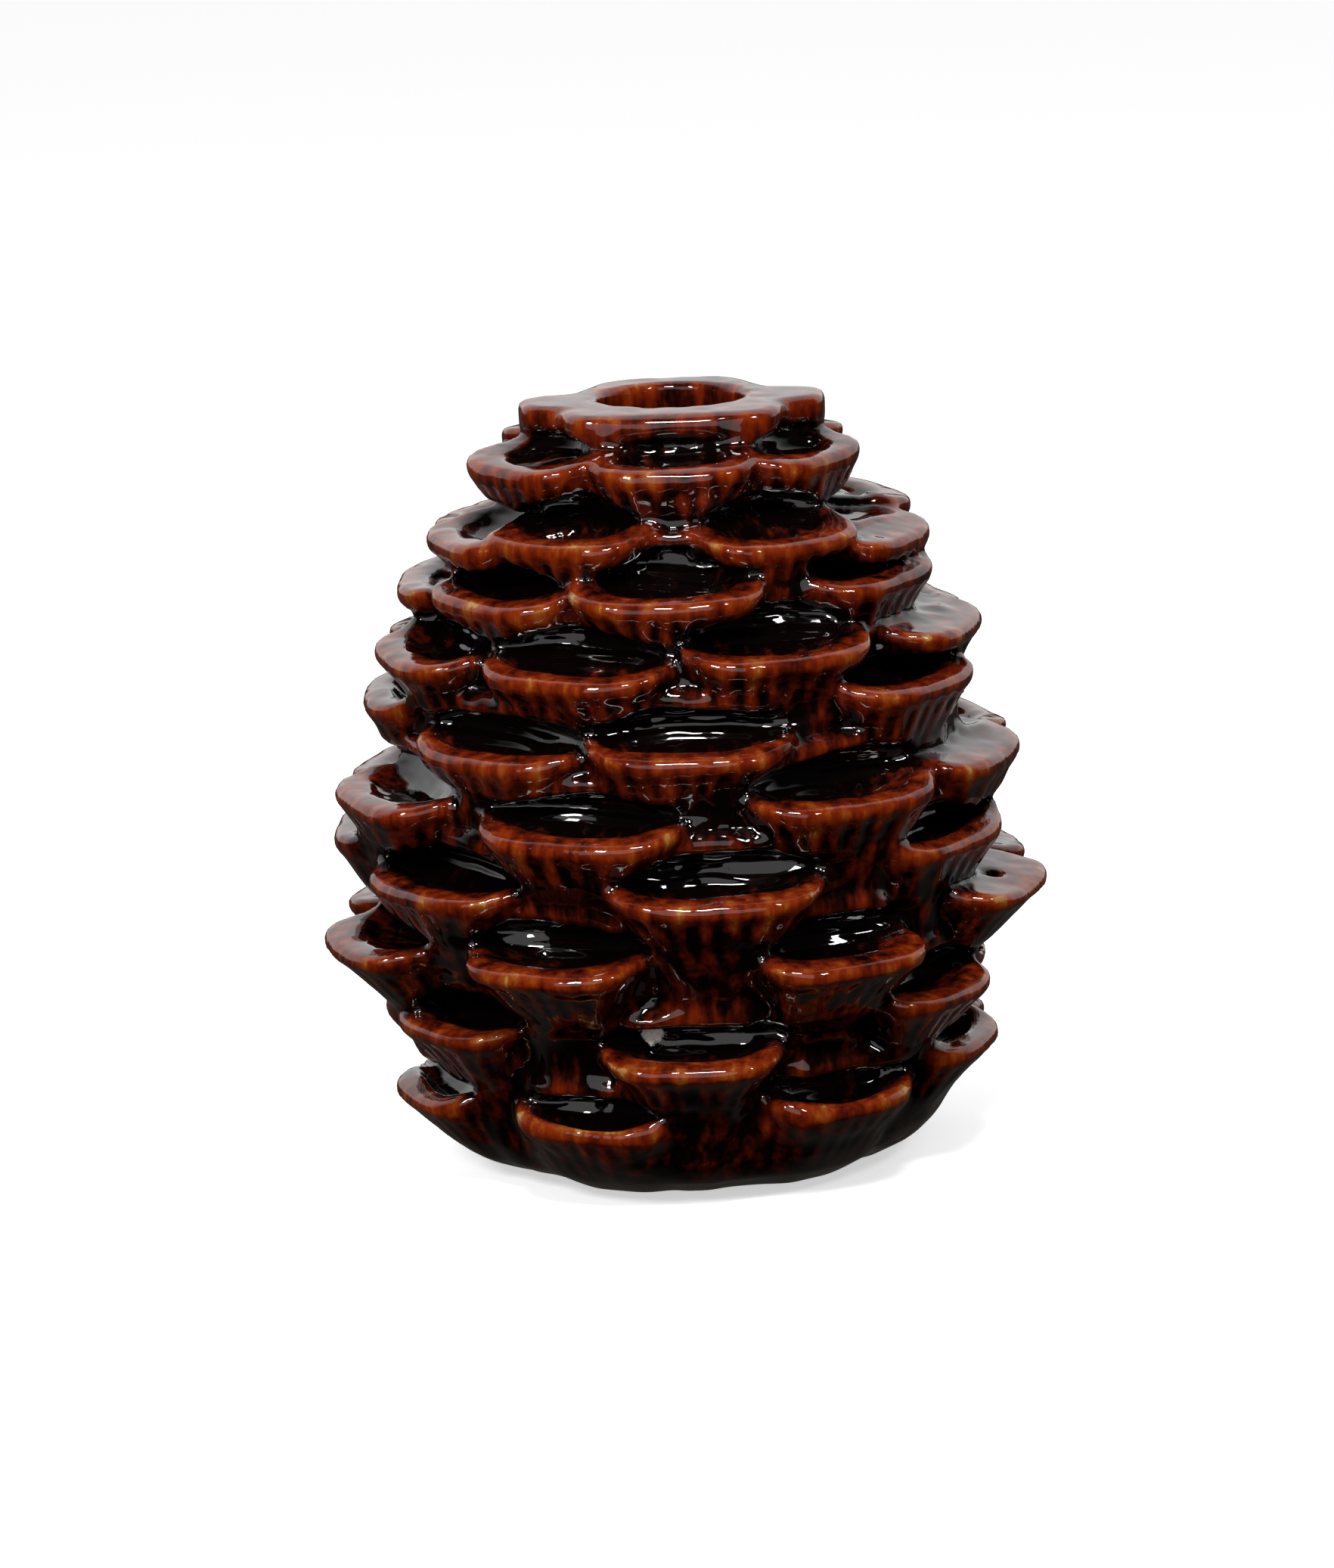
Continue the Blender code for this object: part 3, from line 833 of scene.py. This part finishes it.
def glaze_material():
    """Treacle-brown glaze: black where it pools, rust where it thins, ochre on sharp edges, with
    painted light on the up-facing floors of the pockets.
    """
    made, tree, shader = new_material("treacle_glaze")
    pocketed = attribute(tree, "glaze_pocket")
    facing = tree.nodes.new("ShaderNodeNewGeometry")
    upward = axis_part(tree, facing.outputs["Normal"], "Z")
    colour = ramp(tree, thinness(tree, pocketed, upward), GLAZE_COLOURS)
    away = maths(tree, "ADD", attribute(tree, "bare_distance"), blotches(tree, RAGGED))
    within = BARE_EDGE * SPOT_RADIUS + 0.5
    bare = maths(tree, "MULTIPLY_ADD", away, -BARE_EDGE, within, clamp=True)
    bare_clay = ramp(tree, noise(tree, BARE_GRAIN), BARE_COLOURS)
    roughness = maths(tree, "MULTIPLY_ADD", bare, BARE_ROUGHER, GLAZE_ROUGHNESS)
    tree.links.new(mixed(tree, bare, colour, bare_clay), shader.inputs["Base Color"])
    tree.links.new(roughness, shader.inputs["Roughness"])
    shader.inputs["IOR"].default_value = GLAZE_IOR
    bumped(tree, shader, glaze_relief(tree, pocketed, upward), 1.0, GLAZE_RELIEF)
    return made


def clay_material():
    """Unglazed buff stoneware."""
    made, tree, shader = new_material("bare_clay")
    grain = noise(tree, CLAY_GRAIN, detail=4.0)
    tree.links.new(ramp(tree, grain, CLAY_COLOURS), shader.inputs["Base Color"])
    shader.inputs["Roughness"].default_value = CLAY_ROUGHNESS
    bumped(tree, shader, grain, CLAY_BUMP, CLAY_RELIEF)
    return made


# --- Studio, in metres ---

# The surroundings that the glaze mirrors: dark in front and below, white behind and above. A stop
# at 0.5 is level, or straight to the side.
DARK = (0.015, 0.015, 0.015)
GROUND = (0.05, 0.045, 0.04)
WHITE = (1.0, 1.0, 1.0)
FRONT_TO_BACK = [(0.48, DARK), (0.66, WHITE)]
DOWN_TO_UP = [(0.48, GROUND), (0.54, WHITE)]

FLOOR_HALF = 6.0
FLOOR_COLOUR = (0.86, 0.86, 0.86, 1.0)
FLOOR_ROUGHNESS = 0.9
FLOOR_GLOW = 0.55

# Rectangles of light round the holder: azimuth from the front and elevation in degrees, power in
# watts
Softbox = namedtuple("Softbox", "name azimuth elevation width height power")
SOFTBOXES = [
    Softbox("left", -34, 32, 0.10, 0.18, 3.6),
    Softbox("middle", 2, 48, 0.20, 0.10, 5.0),
    Softbox("right", 36, 36, 0.08, 0.14, 1.5),
    Softbox("fill", -12, 16, 0.90, 0.50, 1.6),
]
SOFTBOX_AIM = (0, 0, 0.06)
SOFTBOX_DISTANCE = 0.8

SENSOR_MM = 36.0
LENS_MM = 134.518
CLIP_NEAR = 0.05
CLIP_FAR = 20.0
VIEW_ELEVATION = math.radians(13.2)
VIEW_ROLL = math.radians(-2.1)
VIEW_DISTANCE = 0.9
VIEW_AIM = (-0.0027, 0, 0.0575)


def face(obj, aim, back, distance, roll=0.0):
    """Puts a light or a camera at a distance from what it looks at, back along that direction."""
    turn = Quaternion((0, 0, 1), roll)
    obj.location = Vector(aim) + back * distance
    obj.rotation_mode = "QUATERNION"
    obj.rotation_quaternion = (-back).to_track_quat("-Z", "Y") @ turn


def softbox(box):
    """A rectangle of light that faces the holder."""
    azimuth, elevation = math.radians(box.azimuth), math.radians(box.elevation)
    level = math.cos(elevation)
    back = (math.sin(azimuth) * level, -math.cos(azimuth) * level, math.sin(elevation))
    light = bpy.data.lights.new(box.name, "AREA")
    light.shape = "RECTANGLE"
    light.size = box.width
    light.size_y = box.height
    light.energy = box.power
    obj = bpy.data.objects.new(box.name, light)
    bpy.context.scene.collection.objects.link(obj)
    obj.visible_camera = False
    face(obj, SOFTBOX_AIM, Vector(back), SOFTBOX_DISTANCE)


def world():
    """Surroundings that light the holder from behind and above, and look white."""
    made = bpy.data.worlds.new("studio")
    bpy.context.scene.world = made
    made.use_nodes = True
    tree = made.node_tree
    place = tree.nodes.new("ShaderNodeTexCoord").outputs["Generated"]
    backward = maths(tree, "MULTIPLY_ADD", axis_part(tree, place, "Y"), 0.5, 0.5)
    upward = maths(tree, "MULTIPLY_ADD", axis_part(tree, place, "Z"), 0.5, 0.5)
    behind, above = ramp(tree, backward, FRONT_TO_BACK), ramp(tree, upward, DOWN_TO_UP)
    shade = mixed(tree, 1.0, behind, above, "MULTIPLY")
    seen = tree.nodes.new("ShaderNodeLightPath").outputs["Is Camera Ray"]
    background = tree.nodes["Background"]
    tree.links.new(mixed(tree, seen, shade, (*WHITE, 1.0)), background.inputs["Color"])
    background.inputs["Strength"].default_value = 1.0


def floor():
    """A plain pale floor with a soft shadow, which the glaze doesn't mirror."""
    made, _, shader = new_material("floor")
    shader.inputs["Base Color"].default_value = FLOOR_COLOUR
    shader.inputs["Roughness"].default_value = FLOOR_ROUGHNESS
    shader.inputs["Emission Color"].default_value = (*WHITE, 1.0)
    shader.inputs["Emission Strength"].default_value = FLOOR_GLOW
    bpy.ops.mesh.primitive_plane_add(size=2 * FLOOR_HALF, location=(0, 0, 0))
    sheet = bpy.context.object
    sheet.name = "floor"
    sheet.data.materials.append(made)
    sheet.visible_glossy = False
    sheet.visible_diffuse = False


def camera():
    """The front view, from a little above the holder and slightly rolled."""
    data = bpy.data.cameras.new("camera")
    data.sensor_width = SENSOR_MM
    data.lens = LENS_MM
    data.clip_start = CLIP_NEAR
    data.clip_end = CLIP_FAR
    obj = bpy.data.objects.new("camera", data)
    bpy.context.scene.collection.objects.link(obj)
    back = Vector((0, -math.cos(VIEW_ELEVATION), math.sin(VIEW_ELEVATION)))
    face(obj, VIEW_AIM, back, VIEW_DISTANCE, VIEW_ROLL)
    bpy.context.scene.camera = obj


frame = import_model()
cad_low, cad_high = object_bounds()

holder = skin()
holder.data.materials.append(glaze_material())
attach(holder, "root")
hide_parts(*[name for name in frame["nodes"] if name != "foot"])
foot = frame["nodes"]["foot"]
foot.data.materials.clear()
foot.data.materials.append(clay_material())

world()
floor()
camera()
for box in SOFTBOXES:
    softbox(box)
bpy.context.scene.view_settings.view_transform = "Standard"
